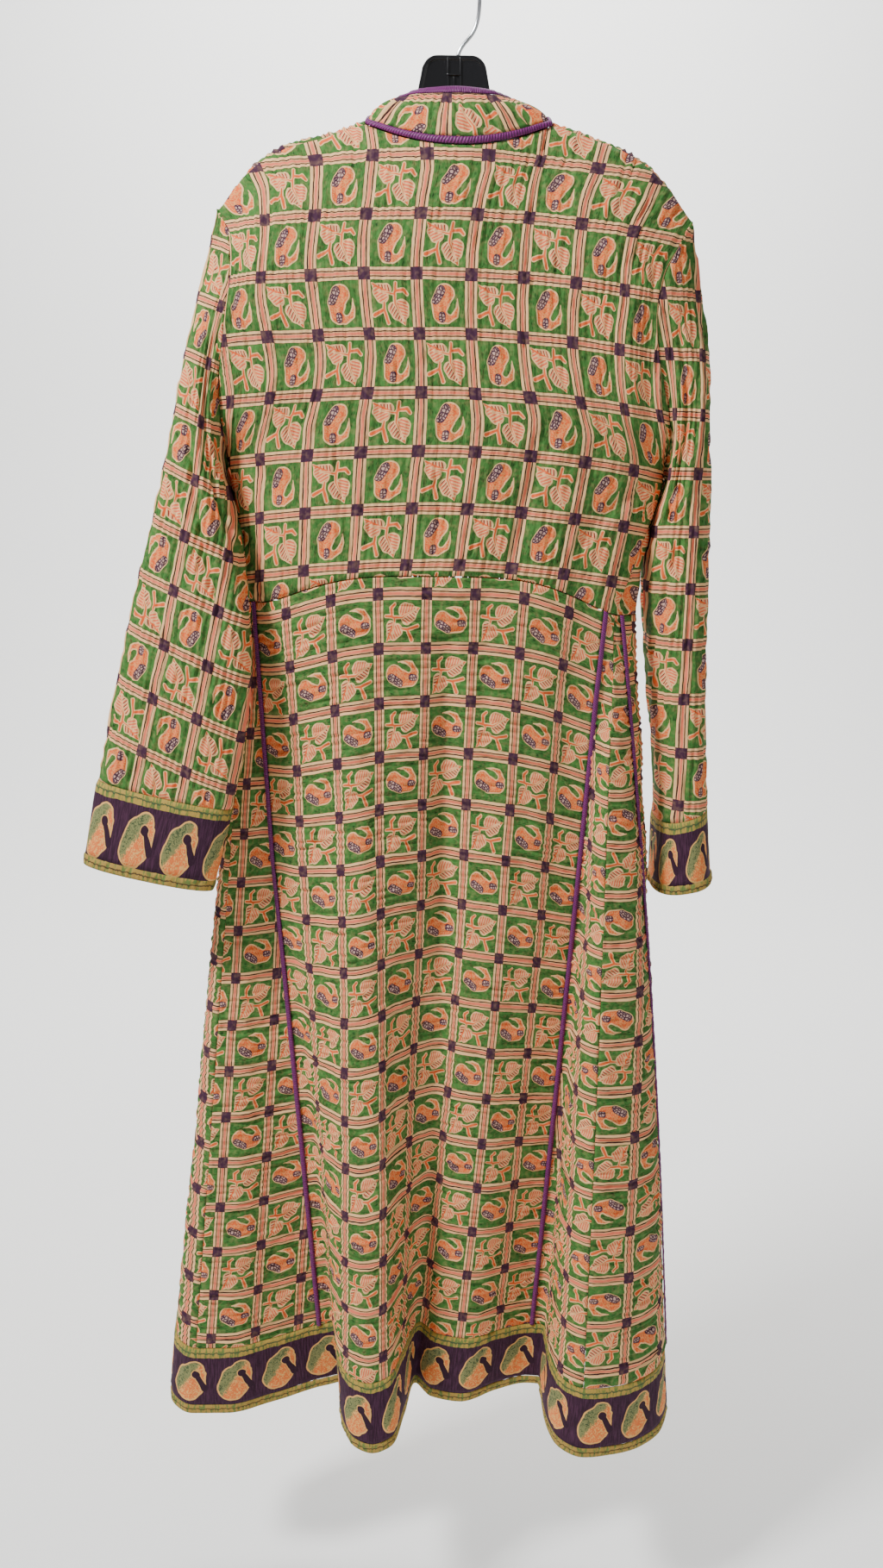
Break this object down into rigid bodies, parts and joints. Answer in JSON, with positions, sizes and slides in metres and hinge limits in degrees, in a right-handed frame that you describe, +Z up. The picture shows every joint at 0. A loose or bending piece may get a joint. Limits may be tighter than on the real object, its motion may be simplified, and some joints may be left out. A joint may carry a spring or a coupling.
{
  "type": "quilted robe on a clothes hanger",
  "caption": "Long quilted robe with wide sleeves, banded open front and gored skirt, hanging on a moulded hanger whose wire hook goes over a rail.",
  "frame": {"origin": "the point on the inside of the hook's bend that rests on a rail", "axes": "+Z up, the back of the robe faces -Y, its open front faces +Y, +X is the wearer's right"},
  "size_m": [0.6215, 0.1892, 1.4504],
  "materials": {
    "printed_cotton": "matte printed quilted cotton",
    "border_cotton": "matte printed quilted cotton border",
    "edge_cotton": "matte puckered cotton edge strip",
    "piping_silk": "soft sheen woven strip",
    "hanger_plastic": "gloss black moulded plastic",
    "hook_steel": "bright plated wire"
  },
  "bodies": {
    "root": {"hanger": "hanger_plastic", "hook": "hook_steel", "back_bodice": "printed_cotton", "front_bodice_left": "printed_cotton", "front_bodice_right": "printed_cotton", "sleeve_left": "printed_cotton", "sleeve_right": "printed_cotton", "cuff_left": "border_cotton", "cuff_right": "border_cotton", "cuff_binding_left": "edge_cotton", "cuff_binding_right": "edge_cotton", "skirt_back": "printed_cotton", "gore_back_left": "printed_cotton", "gore_front_left": "printed_cotton", "gore_back_right": "printed_cotton", "gore_front_right": "printed_cotton", "skirt_front_left": "printed_cotton", "skirt_front_right": "printed_cotton", "hem_border": "border_cotton", "hem_binding": "edge_cotton", "collar_band": "printed_cotton", "collar_binding": "piping_silk", "collar_piping": "piping_silk", "piping_back_left": "piping_silk", "piping_front_left": "piping_silk", "piping_back_right": "piping_silk", "piping_front_right": "piping_silk"}
  },
  "joints": []
}
